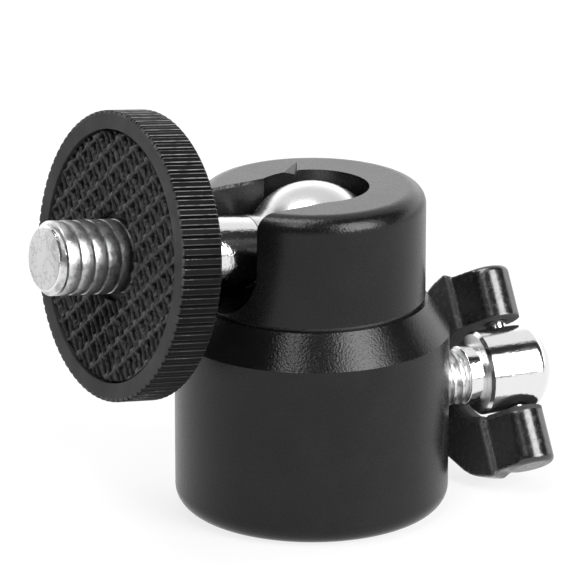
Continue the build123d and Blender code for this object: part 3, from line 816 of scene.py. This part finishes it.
def closeFork(mesh):
    # the fork's lower wall lies nearer to the barrel than the upper one, but outside the barrel's swing
    axes = pinAxes @ turned(lever["fold"], "Z")
    inward = axes.inverted()
    corner = lever["forkCorner"]
    for vertex in mesh.vertices:
        x, y, z = (inward @ vertex.co) / mm
        if z > lever["lowerStart"] or abs(x) > lever["forkHalfWidth"]:
            continue
        cornerY, cornerZ = y - (lever["forkDepth"] - corner), -z - (lever["forkHalfGap"] - corner)
        if cornerY > 0 and cornerZ > 0:
            away = math.hypot(cornerY, cornerZ)
            toWall, pushY, pushZ = away - corner, -cornerY / away, cornerZ / away
        elif cornerZ > cornerY:
            toWall, pushY, pushZ = cornerZ - corner, 0.0, 1.0
        else:
            continue
        if abs(toWall) > lever["wallMargin"]:
            continue
        shift = lever["lowerShift"]
        if y > 0 and cornerY > 0:
            shift = min(shift, max(0.0, math.sqrt(x * x + y * y + z * z) - lever["swing"]))
        vertex.co = axes @ (Vector((x, y + pushY * shift, z + pushZ * shift)) * mm)


def makeLever():
    shape = bmesh.new()
    shape.from_mesh(nodes["lever"].data)
    bmesh.ops.remove_doubles(shape, verts=shape.verts, dist=lever["mergeDistance"] * mm)
    holder = newHolder("lever", written(shape, nodes["lever"].data.copy()))
    remesh = holder.modifiers.new("skin", "REMESH")
    remesh.mode, remesh.voxel_size = "VOXEL", lever["voxel"] * mm
    soft = holder.modifiers.new("soft", "SMOOTH")
    soft.iterations, soft.factor = lever["smoothing"], lever["factor"]
    mesh = finished(holder)
    closeFork(mesh)
    print("lever faces:", len(mesh.polygons))
    placePiece("flipLever", mesh, uprightAxes, leverFinish, "lever", ["lever"])


makeLever()
print("lever made")


# carried-over solids

carried = {"base_housing": bodyFinish, "ball_housing": bodyFinish, "ball": ballChrome, "clamp_barrel": clampChrome,
           "lever_pin": clampChrome, "disc_bush": discFinish, "plunger": brassFinish, "clamp_tip": brassFinish,
           "ball_cup": acetalFinish, "pan_washer": acetalFinish, "pan_snap_ring": steelFinish,
           "pad_adhesive": filmFinish}
for name, finish in carried.items():
    for slot in nodes[name].material_slots:
        slot.material = finish
print("carried solids finished:", len(carried))


# studio: a pale room with a dark gap overhead, and three soft boxes that only the object sees

camera = {"lens": 293.1, "sensor": 36.0, "near": 0.01, "far": 50.0,
          "place": Vector((-0.15627, -0.35435, 0.14636)), "sight": Vector((0.3788, 0.8716, -0.3111))}
floorLook = {"radius": 1.6, "segments": 96, "drop": 0.02, "tone": 0.8, "shade": 0.99, "fibreSize": 60.0, "glow": 0.8}
studio = {"backdrop": 1.0, "overhead": 1.0, "behind": 1.9, "behindHeight": (0.36, 0.66), "lowRise": (5.0, 0.0),
          "frontTone": 0.11, "frontTilt": ((5.0, 9.0), (80.0, 74.0)),
          "gapTone": 0.03, "gapStart": (75.0, 79.0), "gapEnd": (99.0, 93.0),
          "gapAside": (0.3, 0.9), "gapSpread": 43.0,
          "horizonRise": ((-1.0, 0.0), (5.5, 4.0))}
softBoxes = {
    "side": {"level": 10.5, "turn": ((29.0, 34.0), (72.0, 66.0)), "rise": ((4.5, 6.0), (54.0, 48.0))},
    "front": {"level": 8.0, "turn": ((-36.0, -30.0), (-10.0, -17.0)), "rise": ((41.0, 46.0), (77.0, 70.0))},
    "top": {"level": 8.0, "side": ((-0.62, -0.50), (0.10, -0.02)), "height": ((0.84, 0.90),),
            "forward": ((-0.22, -0.10), (0.30, 0.20))}}


def makeCamera():
    data = bpy.data.cameras.new("camera")
    data.lens, data.sensor_width = camera["lens"], camera["sensor"]
    data.clip_start, data.clip_end = camera["near"], camera["far"]
    viewer = bpy.data.objects.new("camera", data)
    viewer.location = camera["place"]
    viewer.rotation_euler = camera["sight"].to_track_quat("-Z", "Y").to_euler()
    bpy.context.scene.collection.objects.link(viewer)
    bpy.context.scene.camera = viewer


def makeFloor():
    # paper that camera, mirror and glass rays meet as the plain backdrop, with the object's shadow on it
    shape = bmesh.new()
    bmesh.ops.create_circle(shape, cap_ends=True, segments=floorLook["segments"], radius=floorLook["radius"])
    mesh = written(shape, bpy.data.meshes.new("floor"))
    floor = bpy.data.objects.new("floor", mesh)
    floor.location.z = -floorLook["drop"] * mm
    bpy.context.scene.collection.objects.link(floor)
    material = bpy.data.materials.new("floorPaper")
    material.use_nodes = True
    tree = material.node_tree
    tree.nodes.remove(tree.nodes["Principled BSDF"])
    start = Wire(tree)
    fibre = noise(start.add("ShaderNodeTexCoord", out="Object"), floorLook["fibreSize"], 3.0)
    tone = mixColour(fibre, grey(floorLook["tone"] * floorLook["shade"]), grey(floorLook["tone"]))
    paper = start.add("ShaderNodeBsdfDiffuse", None, {"Color": tone})
    glow = start.add("ShaderNodeEmission", None, {"Color": grey(1.0), "Strength": studio["backdrop"]})
    path = start.add("ShaderNodeLightPath")
    seen = path.most(path.other("Is Glossy Ray")).most(path.other("Is Transmission Ray")) * floorLook["glow"]
    mixed = start.add("ShaderNodeMixShader", None, {0: seen, 1: paper, 2: glow})
    tree.links.new(mixed.socket, tree.nodes["Material Output"].inputs["Surface"])
    mesh.materials.append(material)


def makeWorld():
    world = bpy.data.worlds.new("studio")
    bpy.context.scene.world = world
    world.use_nodes = True
    tree = world.node_tree
    back = tree.nodes["Background"]
    start = Wire(tree)
    where = start.add("ShaderNodeTexCoord", out="Generated")
    toCamera = Vector((-camera["sight"].x, -camera["sight"].y, 0)).normalized()
    forward = where.along(toCamera)
    side = where.along((-toCamera.y, toCamera.x, 0))
    height = where.part("Z")
    degree = 180 / math.pi
    tilt = height.angleFrom(forward) * degree      # 0 level towards the front, 90 overhead
    turn = side.angleFrom(forward) * degree
    rise = height.alone("ARCSINE") * degree
    behind = height.step(*studio["behindHeight"], studio["behind"], studio["overhead"])
    level = rise.step(*studio["lowRise"]).pick(studio["backdrop"], behind)
    dark = product(*(tilt.step(*ends) for ends in studio["frontTilt"]))      # the unlit room in front
    level = dark.pick(studio["frontTone"], level)
    farTilt = tilt - abs(side).step(*studio["gapAside"]) * studio["gapSpread"]
    gap = tilt.step(*studio["gapStart"]) * farTilt.step(*studio["gapEnd"])
    level = gap.pick(studio["gapTone"], level)
    horizon = product(*(rise.step(*ends) for ends in studio["horizonRise"]), forward.above(0.0))
    level = horizon.pick(studio["gapTone"], level)
    measures = {"turn": turn, "rise": rise, "side": side, "height": height, "forward": forward}
    for box in softBoxes.values():
        edges = [measures[name].step(*ends) for name in box if name in measures for ends in box[name]]
        level = product(*edges).pick(box["level"], level)
    level = start.add("ShaderNodeLightPath").pick(studio["backdrop"], level)
    tree.links.new(level.socket, back.inputs["Strength"])
    back.inputs["Color"].default_value = grey(1.0)


makeCamera()
makeFloor()
makeWorld()
bpy.context.scene.view_settings.view_transform = "Standard"
print("studio made")
